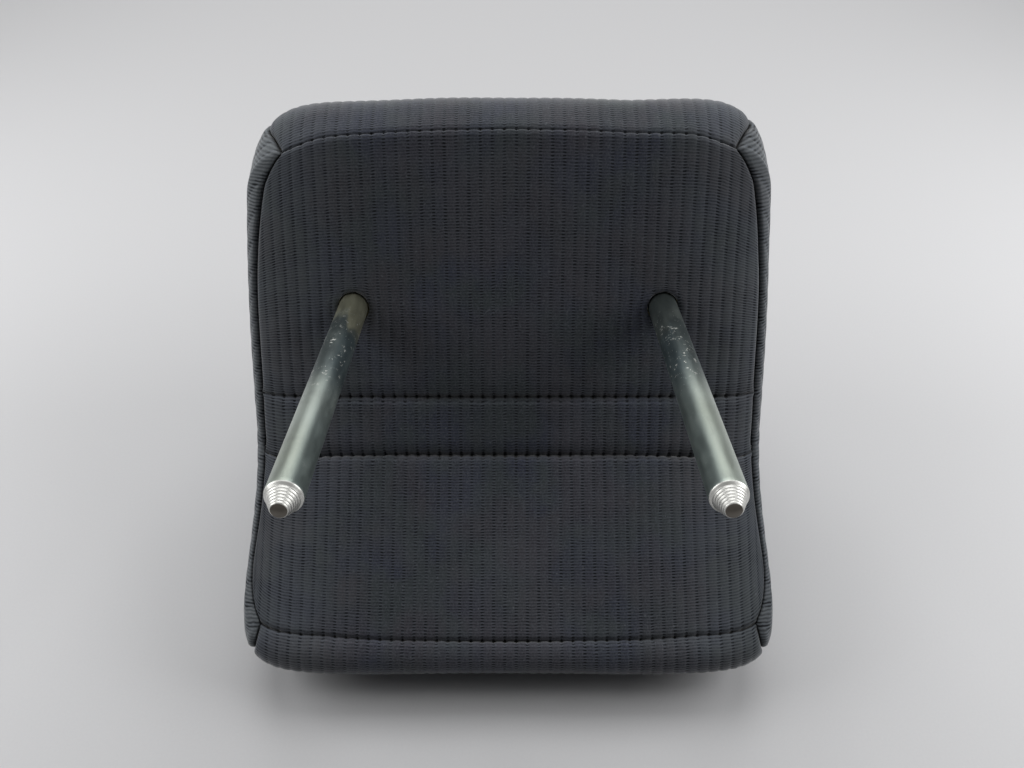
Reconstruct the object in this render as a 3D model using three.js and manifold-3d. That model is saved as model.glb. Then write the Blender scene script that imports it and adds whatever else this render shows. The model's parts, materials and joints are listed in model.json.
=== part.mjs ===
// Car headrest: a moulded foam pad in a sewn knit cover, on a bent steel stay.
// Millimetres, +Z up, the occupant's side at -Y, the occupant's left at +X.
// The origin lies midway between the legs of the stay, where they leave the pad.

import * as THREE from 'three';
import { mergeVertices } from 'three/addons/utils/BufferGeometryUtils.js';
import Module from 'manifold-3d';

const wasm = await Module();
wasm.setup();

// Clearance between neighbours, between the edges of two cover panels, and under them
const GAP = 0.3;
const SEAM_GAP = 0.6;
const COVER_GAP = 0.6;

// Steel stay: one round bar bent to a U, its ends turned to a cone
const STAY_DIAMETER = 12;
const STAY_SPACING = 130;
const STAY_EXPOSED = 136;
const STAY_TOP = 66;
const STAY_BEND_RADIUS = 28;
const STAY_END_DIAMETER = 5.3;
const STAY_CONE_LENGTH = 6.5;

// Underside of the pad, from the rear seam to the front seam
const REAR_PANEL_SLOPE = 13.4;
const REAR_PANEL_BEHIND = 73;
const REAR_PANEL_AHEAD = 39.5;
const STRIP_SLOPE = 19.8;
const STRIP_LENGTH = 25.3;
const FRONT_PANEL_SLOPE = 39.4;
const FRONT_PANEL_LENGTH = 78.1;

// How deep the seams are drawn in, and how wide the panels round over to them
const TUCK_DEPTH = 5;
const TUCK_ROUND = 7;
const EDGE_DEPTH = 1.6;
const EDGE_ROUND = 5;
const FADE_START = 0.75;
const FADE_AT_SEAM = 0.25;
const FADE_END = 0.08;

// Lip below the occupant's side: an arc from the front seam, in degrees from +Y downward.
// On the sides it starts lower, because the valley of the seam runs out there.
const LIP_RADIUS = 9;
const LIP_START = 16;
const LIP_START_AT_SIDE = 40;
const LIP_END = 174;

// Wrap from the lip over the front, the crown and the rear wall, each as a reach
// from the legs and a height over the origin
const FRONT_REACH = 138;
const FRONT_HEIGHT = -22;
const BROW_REACH = 118;
const BROW_HEIGHT = 42;
const CROWN_FRONT_REACH = 80;
const CROWN_FRONT_HEIGHT = 90;
const CROWN_HEIGHT = 110;
const CROWN_REACH = 18;
const CROWN_REAR_REACH = -46;
const CROWN_REAR_HEIGHT = 94;
const REAR_WALL_REACH = -76.8;
const REAR_WALL_HEIGHT = 42;

// Plan of the pad: its half width, how much wider or narrower it is at shares of the
// way from the rear wall to the front, and how square its corners are
const HALF_WIDTH = 112.3;
const WIDENING = [[0, -5], [0.26, -1.3], [0.54, 0], [0.71, -1.4], [0.85, 1.3], [1, 7.3]];
const CROWN_NARROWING = 12;
const SQUARENESS_REAR = 9.2;
const SQUARENESS_FRONT = 10;
const REAR_BOW = 0.02;
const SPINE_Y = -30;
const SPINE_Z = 30;

// Rear seam: how far it curves forward, at shares of the way from the middle to its end
const REAR_SEAM_CURVE = [[0, 0], [0.4, 1], [0.6, 1.8], [0.8, 3], [0.93, 5.6], [1, 6.3]];

// Side seams: their stations at shares of the way along the underside from the rear
// seam, and how far up each end of the wrap they take to reach the pad's corner
const SIDE_SEAM = [[0, 0.9], [0.055, 0.955], [0.11, 0.995], [0.28, 1.03], [0.56, 1.045],
  [0.88, 1.09], [0.96, 1.055], [1, 0.985]];
const FRONT_CORNER_REACH = 22;
const REAR_CORNER_REACH = 18;

// Cover
const COVER_THICKNESS = 3;

// Armature plate: a stamped tray in front of the legs
const PLATE_THICKNESS = 1.5;
const PLATE_WIDTH = 168;
const PLATE_BOTTOM = 20;
const PLATE_TOP = 82;
const PLATE_CORNER = 14;
const PLATE_FLANGE = 9;
const PLATE_HOLE_DIAMETER = 22;
const PLATE_HOLE_SPACING = 38;

// Straps that hold the stay on the plate
const STRAP_THICKNESS = 1.5;
const STRAP_LENGTH = 14;
const STRAP_FOOT = 9;
const LEG_STRAP_HEIGHT = 30;
const BAR_STRAP_OFFSET = 19;

// Wires in the two tucked seams, and the rings that clip them together
const WIRE_DIAMETER = 2.2;
const RING_WIRE_DIAMETER = 1.6;
const RING_OPENING = 2;
const WIRE_REACH = 0.88;
const RING_STATIONS = [-0.55, 0, 0.55];

// Fineness of the facets
const BAR_SIDES = 16;
const WIRE_SIDES = 8;
const RING_SIDES = 6;
const RING_TURN_STEPS = 3;
const WIRE_STEPS = 8;
const BEND_STEPS = 6;
const WRAP_STEPS = 14;
const WRAP_CORNER_STEPS = 2;
const LIP_STEPS = 5;
const ROUND_STEPS = 3;
const MIDDLE_ROWS = [0.38, 0.68, 0.86];
const CURVE_STEPS = 80;
const PANEL_SHARES = [0, 0.22, 0.44, 0.64, 0.8, 0.9, 0.96, 1];
const GUSSET_SHARES = [0, FADE_END, 0.18, 0.36, 0.65];

const degrees = Math.PI / 180;
const stayRadius = STAY_DIAMETER / 2;
const legX = STAY_SPACING / 2;
const plateRear = -stayRadius - GAP;
const plateFront = plateRear - PLATE_THICKNESS;

// Points of a side view are Vector2, with Y as x and Z as y
const sidePoint = (y, z) => new THREE.Vector2(y, z);

function slopeStep(from, slope, length) {
  const angle = slope * degrees;
  return sidePoint(from.x - length * Math.cos(angle), from.y - length * Math.sin(angle));
}

// A smooth curve through pairs of a place and a value, and its value at a place
const curveThrough = (pairs) => new THREE.SplineCurve(
  pairs.map(([place, value]) => new THREE.Vector2(place, value))).getPoints(CURVE_STEPS);

function valueAt(curve, place) {
  const after = curve.findIndex((point) => point.x >= place);
  if (after === 0) return curve[0].y;
  if (after < 0) return curve.at(-1).y;
  const [before, next] = [curve[after - 1], curve[after]];
  return THREE.MathUtils.mapLinear(place, before.x, next.x, before.y, next.y);
}

const wideningCurve = curveThrough(WIDENING);
const rearSeamCurve = curveThrough(REAR_SEAM_CURVE);
const sideSeamCurve = curveThrough(SIDE_SEAM);

// The four seams of the underside
const legExit = sidePoint(0, 0);
const rearSeam = slopeStep(legExit, REAR_PANEL_SLOPE, -REAR_PANEL_BEHIND);
const rearTuck = slopeStep(legExit, REAR_PANEL_SLOPE, REAR_PANEL_AHEAD);
const frontTuck = slopeStep(rearTuck, STRIP_SLOPE, STRIP_LENGTH);
const frontSeam = slopeStep(frontTuck, FRONT_PANEL_SLOPE, FRONT_PANEL_LENGTH);

// How far a rounded edge lies below the face, at a distance from its seam
function edgeDrop(distance, depth, round) {
  const short = 1 - Math.min(distance / round, 1);
  return depth * short * short;
}

// Side view of one underside panel between two seams, each a depth and a round
function pillow(start, end, startEdge, endEdge) {
  const length = start.distanceTo(end);
  const along = end.clone().sub(start).divideScalar(length);
  const inward = sidePoint(along.y, -along.x);
  const distances = [];
  for (let i = 0; i <= ROUND_STEPS; i++) {
    const share = i / ROUND_STEPS;
    distances.push(THREE.MathUtils.lerp(SEAM_GAP / 2, startEdge.round, share));
    distances.push(length - THREE.MathUtils.lerp(SEAM_GAP / 2, endEdge.round, share));
  }
  MIDDLE_ROWS.forEach((share) => distances.push(length * share));
  distances.sort((a, b) => a - b);
  return distances.map((distance) => {
    const drop = edgeDrop(distance, startEdge.depth, startEdge.round)
      + edgeDrop(length - distance, endEdge.depth, endEdge.round);
    return start.clone().addScaledVector(along, distance).addScaledVector(inward, drop);
  });
}

// A point of the lip, at an angle that runs from +Y downward
function onLip(centre, angle) {
  return centre.clone().add(sidePoint(
    LIP_RADIUS * Math.cos(angle * degrees), -LIP_RADIUS * Math.sin(angle * degrees)));
}

const lipCentre = onLip(frontSeam, LIP_START + 180);
const lipStart = (edgeScale) => THREE.MathUtils.lerp(LIP_START_AT_SIDE, LIP_START, edgeScale);

// Side view of the wrap, from the front seam over the crown to where the rear seam is
function wrapLine(edgeScale, seam) {
  const points = [];
  for (let i = 0; i <= LIP_STEPS; i++) {
    const angle = THREE.MathUtils.lerp(lipStart(edgeScale), LIP_END, i / LIP_STEPS);
    points.push(onLip(lipCentre, angle));
  }
  const sweep = new THREE.SplineCurve([
    points[LIP_STEPS],
    sidePoint(-FRONT_REACH, FRONT_HEIGHT),
    sidePoint(-BROW_REACH, BROW_HEIGHT),
    sidePoint(-CROWN_FRONT_REACH, CROWN_FRONT_HEIGHT),
    sidePoint(-CROWN_REACH, CROWN_HEIGHT),
    sidePoint(-CROWN_REAR_REACH, CROWN_REAR_HEIGHT),
    sidePoint(-REAR_WALL_REACH, REAR_WALL_HEIGHT),
    seam.clone().add(sidePoint(EDGE_DEPTH, EDGE_DEPTH * edgeScale)),
  ]);
  const corner = 1 - REAR_CORNER_REACH / sweep.getLength();
  for (let i = 1; i <= WRAP_STEPS; i++) {
    points.push(sweep.getPointAt((corner * i) / WRAP_STEPS));
  }
  for (let i = 1; i <= WRAP_CORNER_STEPS; i++) {
    points.push(sweep.getPointAt(THREE.MathUtils.lerp(corner, 1, i / WRAP_CORNER_STEPS)));
  }
  return points;
}

// Closed side view of the pad at a share of a panel's width. edgeScale fades the
// drawn-in seams out, and inset moves the line inward. Its parts are the index
// ranges of the cover panels.
function outline(inset, edgeScale, share) {
  const edge = { depth: EDGE_DEPTH * edgeScale, round: EDGE_ROUND };
  const tuck = { depth: TUCK_DEPTH * edgeScale, round: TUCK_ROUND };
  const forward = valueAt(rearSeamCurve, Math.abs(share));
  const seam = slopeStep(rearSeam, REAR_PANEL_SLOPE, forward);
  const lines = {
    rear: pillow(seam, rearTuck, edge, tuck),
    strip: pillow(rearTuck, frontTuck, tuck, tuck),
    front: pillow(frontTuck, onLip(lipCentre, lipStart(edgeScale)), tuck, edge),
    wrap: wrapLine(edgeScale, seam),
  };
  const parts = {};
  const points = [];
  for (const [name, line] of Object.entries(lines)) {
    parts[name] = [points.length, points.length + line.length - 1];
    points.push(...line);
  }
  return { parts, points: insetLoop(points, inset) };
}

// Moves each corner of a closed side view inward by the inset
function insetLoop(points, inset) {
  const count = points.length;
  const inward = points.map((point, i) => {
    const along = points[(i + 1) % count].clone().sub(point).normalize();
    return sidePoint(along.y, -along.x);
  });
  return points.map((point, i) => {
    const before = inward[(i + count - 1) % count];
    const share = inset / (1 + before.dot(inward[i]));
    return point.clone().addScaledVector(before, share).addScaledVector(inward[i], share);
  });
}

const plainSide = outline(0, 0, 0);
const sideParts = plainSide.parts;
const sideCount = plainSide.points.length;

// The way from the rear wall to the front, as a share
const wayForward = (y) => (-REAR_WALL_REACH - y) / (FRONT_REACH - REAR_WALL_REACH);

// Half width of the pad at a place in the side view
function halfWidth(y, z) {
  const rise = Math.max(z, 0) / CROWN_HEIGHT;
  return HALF_WIDTH + valueAt(wideningCurve, wayForward(y)) - CROWN_NARROWING * rise * rise;
}

// A station runs across the pad: 0 is the middle, 1 the corner and 2 the end of
// the side. The side view shrinks towards the spine as the station nears the side.
function padPoint(point, station, inset) {
  const size = Math.abs(station);
  const front = wayForward(point.x);
  const square = THREE.MathUtils.lerp(SQUARENESS_REAR, SQUARENESS_FRONT, front);
  const corner = 2 ** (-1 / square);
  let across = size * corner;
  let scale = (1 - Math.min(across, 1) ** square) ** (1 / square);
  if (size > 1) {
    scale = (2 - size) * corner;
    across = (1 - scale ** square) ** (1 / square);
  }
  const bow = 1 - REAR_BOW * (1 - front) * across * across;
  const y = SPINE_Y + (point.x - SPINE_Y) * scale * bow;
  const z = SPINE_Z + (point.y - SPINE_Z) * scale * bow;
  return new THREE.Vector3(Math.sign(station) * across * (halfWidth(y, z) - inset), y, z);
}

// Stations of the side seam at each point of the side view
function sideSeamStations() {
  const lengths = [0];
  for (let i = 1; i < sideCount; i++) {
    lengths.push(lengths[i - 1] + plainSide.points[i].distanceTo(plainSide.points[i - 1]));
  }
  const undersideLast = sideParts.front[1];
  const [wrapFirst, wrapLast] = sideParts.wrap;
  const fromEnd = (length, reach, end) => (
    Math.max(0, 1 - Math.abs(length) / reach) * (1 - end[1]));
  return lengths.map((length, i) => {
    if (i <= undersideLast) return valueAt(sideSeamCurve, length / lengths[undersideLast]);
    return 1 - fromEnd(length - lengths[wrapFirst], FRONT_CORNER_REACH, SIDE_SEAM.at(-1))
      - fromEnd(length - lengths[wrapLast], REAR_CORNER_REACH, SIDE_SEAM[0]);
  });
}

const seamStations = sideSeamStations();

// Shares run from -1 to 1 across a panel, and from 0 at a gusset's seam to 1
const halfGap = SEAM_GAP / 2 / HALF_WIDTH;
const panelStation = (share, index) => share * (seamStations[index] - halfGap);

function gussetStation(share, index) {
  const seam = seamStations[index] + halfGap;
  return seam + (2 - seam) * share;
}

// The drawn-in seams fade out towards the edge of a panel and on the gusset
function panelFade(share) {
  const edge = Math.max(0, Math.abs(share) - FADE_START) / (1 - FADE_START);
  return 1 - edge * (1 - FADE_AT_SEAM);
}

const gussetFade = (share) => FADE_AT_SEAM * Math.max(0, 1 - share / FADE_END);

function meshGeometry(points, triangles) {
  const geometry = new THREE.BufferGeometry();
  geometry.setAttribute('position', new THREE.Float32BufferAttribute(
    points.flatMap((point) => [point.x, point.y, point.z]), 3));
  geometry.setIndex(triangles);
  geometry.computeVertexNormals();
  return geometry;
}

function quad(triangles, a, b, c, d) {
  triangles.push(a, b, c, a, c, d);
}

const panelShares = [...PANEL_SHARES.slice(1).map((share) => -share).reverse(), ...PANEL_SHARES];
const lastColumn = panelShares.length - 1;

// One cover panel: part of the side view, from one gusset seam to the other
function panelGeometry([first, last]) {
  const points = [];
  const rows = last - first + 1;
  const [outerRings, innerRings] = [0, COVER_THICKNESS].map((inset) => (
    panelShares.map((share) => panelRing(points, share, inset, first, last))));
  const outer = (i, j) => outerRings[j][i];
  const inner = (i, j) => innerRings[j][i];
  const triangles = [];
  for (let i = 0; i < rows - 1; i++) {
    for (let j = 0; j < lastColumn; j++) {
      quad(triangles, outer(i, j), outer(i, j + 1), outer(i + 1, j + 1), outer(i + 1, j));
      quad(triangles, inner(i, j), inner(i + 1, j), inner(i + 1, j + 1), inner(i, j + 1));
    }
    quad(triangles, outer(i, 0), outer(i + 1, 0), inner(i + 1, 0), inner(i, 0));
    quad(triangles, outer(i, lastColumn), inner(i, lastColumn),
      inner(i + 1, lastColumn), outer(i + 1, lastColumn));
  }
  for (let j = 0; j < lastColumn; j++) {
    quad(triangles, outer(0, j), inner(0, j), inner(0, j + 1), outer(0, j + 1));
    quad(triangles, outer(rows - 1, j), outer(rows - 1, j + 1),
      inner(rows - 1, j + 1), inner(rows - 1, j));
  }
  return meshGeometry(points, triangles);
}

// A closed skin over rings that end in a point at one or both ends
function ringSkin(triangles, rings, outward) {
  for (let r = 0; r < rings.length - 1; r++) {
    for (let i = 0; i < sideCount; i++) {
      const next = (i + 1) % sideCount;
      const [a, b, c, d] = [rings[r][i], rings[r][next], rings[r + 1][next], rings[r + 1][i]];
      if (outward) quad(triangles, a, d, c, b);
      else quad(triangles, a, b, c, d);
    }
  }
}

function poleSkin(triangles, ring, pole, outward) {
  for (let i = 0; i < sideCount; i++) {
    const next = (i + 1) % sideCount;
    if (outward) triangles.push(ring[next], ring[i], pole);
    else triangles.push(ring[i], ring[next], pole);
  }
}

// Part of the pad's side view at a share of a panel
function panelRing(points, share, inset, first, last) {
  const side = outline(inset, panelFade(share), share).points.slice(first, last + 1);
  return side.map((point, i) => (
    points.push(padPoint(point, panelStation(share, first + i), inset)) - 1));
}

// Rings over one gusset, in the order of +X
function gussetRings(points, inset, hand) {
  const rings = GUSSET_SHARES.map((share) => {
    const side = outline(inset, gussetFade(share), 1).points;
    return side.map((point, i) => (
      points.push(padPoint(point, hand * gussetStation(share, i), inset)) - 1));
  });
  return hand > 0 ? rings : rings.reverse();
}

function sidePole(points, inset, hand) {
  return points.push(padPoint(legExit, hand * 2, inset)) - 1;
}

// One side gusset, from its seam with the panels to the middle of the side
function gussetGeometry(hand) {
  const points = [];
  const triangles = [];
  const edges = [];
  for (const inset of [0, COVER_THICKNESS]) {
    const outward = inset === 0;
    const rings = gussetRings(points, inset, hand);
    const [seam, last] = hand > 0 ? [rings[0], rings.at(-1)] : [rings.at(-1), rings[0]];
    ringSkin(triangles, rings, outward);
    poleSkin(triangles, last, sidePole(points, inset, hand), outward === (hand > 0));
    edges.push(seam);
  }
  ringSkin(triangles, [edges[1], edges[0]], hand > 0);
  return meshGeometry(points, triangles);
}

// Solid pad of the moulded foam, before its channels are cut
function foamBlank() {
  const inset = COVER_THICKNESS + COVER_GAP;
  const points = [];
  const triangles = [];
  const middle = panelShares.slice(1, -1)
    .map((share) => panelRing(points, share, inset, 0, sideCount - 1));
  const rings = [...gussetRings(points, inset, -1), ...middle, ...gussetRings(points, inset, 1)];
  ringSkin(triangles, rings, true);
  poleSkin(triangles, rings[0], sidePole(points, inset, -1), false);
  poleSkin(triangles, rings.at(-1), sidePole(points, inset, 1), true);
  return meshGeometry(points, triangles);
}

function toManifold(geometry) {
  const bare = geometry.clone();
  bare.deleteAttribute('normal');
  bare.deleteAttribute('uv');
  const merged = mergeVertices(bare, 1e-4);
  return new wasm.Manifold(new wasm.Mesh({
    numProp: 3,
    vertProperties: Float32Array.from(merged.attributes.position.array),
    triVerts: Uint32Array.from(merged.index.array),
  }));
}

function fromManifold(solid) {
  const mesh = solid.getMesh();
  const geometry = new THREE.BufferGeometry();
  geometry.setAttribute('position', new THREE.BufferAttribute(mesh.vertProperties, 3));
  geometry.setIndex(new THREE.BufferAttribute(mesh.triVerts, 1));
  geometry.computeVertexNormals();
  return geometry;
}

const cut = (solid, tools) => tools.reduce((rest, tool) => rest.subtract(tool), solid);

// A round bar along a flat path, with a radius at each point and flat ends
function roundBar(path, radii, flat, sides) {
  const points = [];
  path.forEach((point, i) => {
    const before = path[Math.max(i - 1, 0)];
    const after = path[Math.min(i + 1, path.length - 1)];
    const along = after.clone().sub(before).normalize();
    const across = new THREE.Vector3().crossVectors(along, flat);
    for (let k = 0; k < sides; k++) {
      const angle = (2 * Math.PI * k) / sides;
      points.push(point.clone()
        .addScaledVector(flat, radii[i] * Math.cos(angle))
        .addScaledVector(across, radii[i] * Math.sin(angle)));
    }
  });
  const first = points.push(path[0].clone()) - 1;
  const last = points.push(path[path.length - 1].clone()) - 1;
  const triangles = [];
  for (let k = 0; k < sides; k++) {
    const next = (k + 1) % sides;
    for (let i = 0; i < path.length - 1; i++) {
      quad(triangles, i * sides + k, i * sides + next,
        (i + 1) * sides + next, (i + 1) * sides + k);
    }
    const top = (path.length - 1) * sides;
    triangles.push(next, k, first);
    triangles.push(top + k, top + next, last);
  }
  return meshGeometry(points, triangles);
}

const fromSide = new THREE.Vector3(1, 0, 0);
const fromFront = new THREE.Vector3(0, -1, 0);

// The stay, grown by a clearance for the channel that it lies in
function stayGeometry(clearance) {
  const bendZ = STAY_TOP - STAY_BEND_RADIUS;
  const bendX = legX - STAY_BEND_RADIUS;
  const half = [];
  for (let i = 0; i <= BEND_STEPS; i++) {
    const angle = (90 * degrees * i) / BEND_STEPS;
    half.push(new THREE.Vector3(bendX + STAY_BEND_RADIUS * Math.cos(angle), 0,
      bendZ + STAY_BEND_RADIUS * Math.sin(angle)));
  }
  half.unshift(new THREE.Vector3(legX, 0, STAY_CONE_LENGTH - STAY_EXPOSED));
  half.unshift(new THREE.Vector3(legX, 0, -STAY_EXPOSED));
  const mirrored = half.map((point) => new THREE.Vector3(-point.x, 0, point.z)).reverse();
  const path = [...half, ...mirrored];
  const radii = path.map(() => stayRadius + clearance);
  radii[0] = STAY_END_DIAMETER / 2 + clearance;
  radii[radii.length - 1] = radii[0];
  return roundBar(path, radii, fromFront, BAR_SIDES);
}

// Rounded rectangle in the front view, as x and z
function roundedPlate(halfX, bottom, top, corner) {
  const shape = new THREE.Shape();
  shape.absarc(halfX - corner, bottom + corner, corner, -90 * degrees, 0, false);
  shape.absarc(halfX - corner, top - corner, corner, 0, 90 * degrees, false);
  shape.absarc(corner - halfX, top - corner, corner, 90 * degrees, 180 * degrees, false);
  shape.absarc(corner - halfX, bottom + corner, corner, 180 * degrees, 270 * degrees, false);
  return shape;
}

// A shape of the front view made solid between two depths
function frontSlab(shape, frontY, rearY) {
  const slab = new THREE.ExtrudeGeometry(shape, {
    depth: rearY - frontY,
    bevelEnabled: false,
    curveSegments: 6,
  });
  slab.rotateX(90 * degrees);
  slab.translate(0, rearY, 0);
  return toManifold(slab);
}

// The stamped plate with its flange, grown by a clearance for its pocket
function plateSolid(clearance) {
  const grown = (inwards) => roundedPlate(PLATE_WIDTH / 2 + clearance - inwards,
    PLATE_BOTTOM - clearance + inwards, PLATE_TOP + clearance - inwards,
    PLATE_CORNER + clearance - inwards);
  const flangeFront = plateRear - PLATE_FLANGE - clearance;
  const block = frontSlab(grown(0), flangeFront, plateRear + clearance);
  const wall = PLATE_THICKNESS + 2 * clearance;
  const hollow = frontSlab(grown(wall), flangeFront - GAP, plateFront - clearance);
  const middleZ = (PLATE_BOTTOM + PLATE_TOP) / 2;
  const holes = [-1, 0, 1].map((place) => {
    const hole = new THREE.Shape();
    hole.absarc(place * PLATE_HOLE_SPACING, middleZ,
      PLATE_HOLE_DIAMETER / 2 - clearance, 0, 360 * degrees, false);
    return frontSlab(hole, plateFront - GAP - clearance, plateRear + GAP + clearance);
  });
  return cut(block, [hollow, ...holes]);
}

// A strap over the bar: two feet on the plate and a half round over the steel.
// It is drawn across a bar along Z, and turned for the cross bar.
function strapSolid(clearance, place) {
  const inner = stayRadius + GAP - clearance;
  const outer = stayRadius + GAP + STRAP_THICKNESS + clearance;
  const footFront = plateRear + GAP - clearance;
  const footRear = plateRear + GAP + STRAP_THICKNESS + clearance;
  const footEnd = outer + STRAP_FOOT;
  const shape = new THREE.Shape();
  shape.moveTo(footEnd, footFront);
  shape.lineTo(footEnd, footRear);
  shape.lineTo(outer, footRear);
  shape.absarc(0, 0, outer, 0, 180 * degrees, false);
  shape.lineTo(-outer, footRear);
  shape.lineTo(-footEnd, footRear);
  shape.lineTo(-footEnd, footFront);
  shape.lineTo(-inner, footFront);
  shape.absarc(0, 0, inner, 180 * degrees, 0, true);
  shape.lineTo(inner, footFront);
  const length = STRAP_LENGTH + 2 * clearance;
  const strap = new THREE.ExtrudeGeometry(shape, {
    depth: length,
    bevelEnabled: false,
    curveSegments: 10,
  });
  strap.translate(0, 0, -length / 2);
  if (place.along === 'x') strap.rotateY(90 * degrees);
  strap.translate(place.x, 0, place.z);
  return toManifold(strap);
}

const strapPlaces = {
  left_leg_strap: { x: legX, z: LEG_STRAP_HEIGHT, along: 'z' },
  right_leg_strap: { x: -legX, z: LEG_STRAP_HEIGHT, along: 'z' },
  left_bar_strap: { x: BAR_STRAP_OFFSET, z: STAY_TOP, along: 'x' },
  right_bar_strap: { x: -BAR_STRAP_OFFSET, z: STAY_TOP, along: 'x' },
};

// Each tucked seam: its place, the direction into the foam and the depths there
const wireRadius = WIRE_DIAMETER / 2;
const ringRadius = RING_WIRE_DIAMETER / 2;
const ringReach = wireRadius + GAP + ringRadius;
const coverFloor = TUCK_DEPTH + COVER_THICKNESS;
const coverWireDepth = coverFloor + GAP + ringReach + ringRadius;
const foamWireDepth = coverWireDepth + WIRE_DIAMETER + GAP;

function tuckLine(seam, slopeBefore, slopeAfter) {
  const tilt = ((slopeBefore + slopeAfter) / 2) * degrees;
  const inward = sidePoint(-Math.sin(tilt), Math.cos(tilt));
  return { seam, inward, along: sidePoint(inward.y, -inward.x) };
}

const tuckLines = {
  rear: tuckLine(rearTuck, REAR_PANEL_SLOPE, STRIP_SLOPE),
  front: tuckLine(frontTuck, STRIP_SLOPE, FRONT_PANEL_SLOPE),
};

function inTuck(tuck, along, depth) {
  return tuck.seam.clone()
    .addScaledVector(tuck.along, along)
    .addScaledVector(tuck.inward, depth);
}

// A bar across the pad with a constant section in the side view
function acrossPad(section, reach, steps) {
  const points = [];
  for (let i = 0; i <= steps; i++) {
    const station = reach * ((2 * i) / steps - 1);
    section.forEach((point) => points.push(padPoint(point, station, 0)));
  }
  const count = section.length;
  const ends = [-reach, reach].map((station) => {
    const middle = section.reduce((sum, point) => sum.add(point), sidePoint(0, 0));
    return points.push(padPoint(middle.divideScalar(count), station, 0)) - 1;
  });
  const triangles = [];
  for (let k = 0; k < count; k++) {
    const next = (k + 1) % count;
    for (let i = 0; i < steps; i++) {
      quad(triangles, i * count + k, (i + 1) * count + k,
        (i + 1) * count + next, i * count + next);
    }
    triangles.push(k, next, ends[0]);
    triangles.push(steps * count + next, steps * count + k, ends[1]);
  }
  return meshGeometry(points, triangles);
}

function wireGeometry(tuck, depth) {
  const section = [];
  for (let k = 0; k < WIRE_SIDES; k++) {
    const angle = (-2 * Math.PI * k) / WIRE_SIDES;
    section.push(inTuck(tuck, wireRadius * Math.cos(angle),
      depth + wireRadius * Math.sin(angle)));
  }
  return acrossPad(section, WIRE_REACH, WIRE_STEPS);
}

// A hog ring: a wire bent round both wires, open where its ends meet
function ringGeometry(tuck, station) {
  const path = [];
  const place = (along, depth) => path.push(padPoint(inTuck(tuck, along, depth), station, 0));
  const turn = (depth, from, to) => {
    for (let i = 0; i <= RING_TURN_STEPS; i++) {
      const angle = (from + ((to - from) * i) / RING_TURN_STEPS) * degrees;
      place(ringReach * Math.cos(angle), depth + ringReach * Math.sin(angle));
    }
  };
  const openAngle = (RING_OPENING / 2 / ringReach) / degrees;
  turn(foamWireDepth, 90 - openAngle, 0);
  turn(coverWireDepth, 0, -180);
  turn(foamWireDepth, 180, 90 + openAngle);
  return roundBar(path, path.map(() => ringRadius), fromSide, RING_SIDES);
}

// The slot that both wires of a tuck lie in, and a pocket round each ring
function tuckCuts(tuck) {
  const slotHalf = wireRadius + GAP;
  const slotFloor = foamWireDepth + wireRadius + GAP;
  const slot = [
    inTuck(tuck, slotHalf, 0),
    inTuck(tuck, -slotHalf, 0),
    inTuck(tuck, -slotHalf, slotFloor),
    inTuck(tuck, slotHalf, slotFloor),
  ];
  const pocketHalf = ringReach + ringRadius + GAP;
  const pocketFloor = foamWireDepth + pocketHalf;
  const pocket = [
    inTuck(tuck, pocketHalf, 0),
    inTuck(tuck, -pocketHalf, 0),
    inTuck(tuck, -pocketHalf, pocketFloor),
    inTuck(tuck, pocketHalf, pocketFloor),
  ];
  const endGap = GAP / HALF_WIDTH;
  const cuts = [toManifold(acrossPad(slot, WIRE_REACH + endGap, WIRE_STEPS))];
  for (const station of RING_STATIONS) {
    const box = acrossPad(pocket, (ringRadius + GAP) / HALF_WIDTH * 1.2, 1);
    const middle = padPoint(tuck.seam, station, 0);
    const shift = middle.sub(padPoint(tuck.seam, 0, 0));
    box.translate(shift.x, shift.y, shift.z);
    cuts.push(toManifold(box));
  }
  return cuts;
}

// Holes of the legs through the cover and the foam
function legHoles() {
  return [legX, -legX].map((x) => {
    const hole = new THREE.CylinderGeometry(stayRadius + GAP, stayRadius + GAP,
      STAY_EXPOSED, BAR_SIDES * 2);
    hole.rotateX(90 * degrees);
    hole.translate(x, 0, 0);
    return toManifold(hole);
  });
}

function foamSolid() {
  const cuts = [
    toManifold(stayGeometry(GAP)),
    plateSolid(GAP),
    ...Object.values(strapPlaces).map((place) => strapSolid(GAP, place)),
    ...Object.values(tuckLines).flatMap(tuckCuts),
  ];
  return cut(toManifold(foamBlank()), cuts);
}

// Finishes
const steel = () => new THREE.MeshStandardMaterial({
  color: 0x8c8b84, roughness: 0.3, metalness: 1 });
const blackSteel = () => new THREE.MeshStandardMaterial({
  color: 0x2b2c2e, roughness: 0.5, metalness: 0.4 });
const wireSteel = () => new THREE.MeshStandardMaterial({
  color: 0xa3a5a8, roughness: 0.35, metalness: 1 });
const knit = () => new THREE.MeshStandardMaterial({
  color: 0x34363c, roughness: 0.95, metalness: 0 });
const foam = () => new THREE.MeshStandardMaterial({
  color: 0xd8cfa8, roughness: 0.9, metalness: 0 });

const headrest = new THREE.Group();

function addPiece(name, geometry, material) {
  const piece = new THREE.Mesh(geometry, material);
  piece.name = name;
  headrest.add(piece);
}

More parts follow.
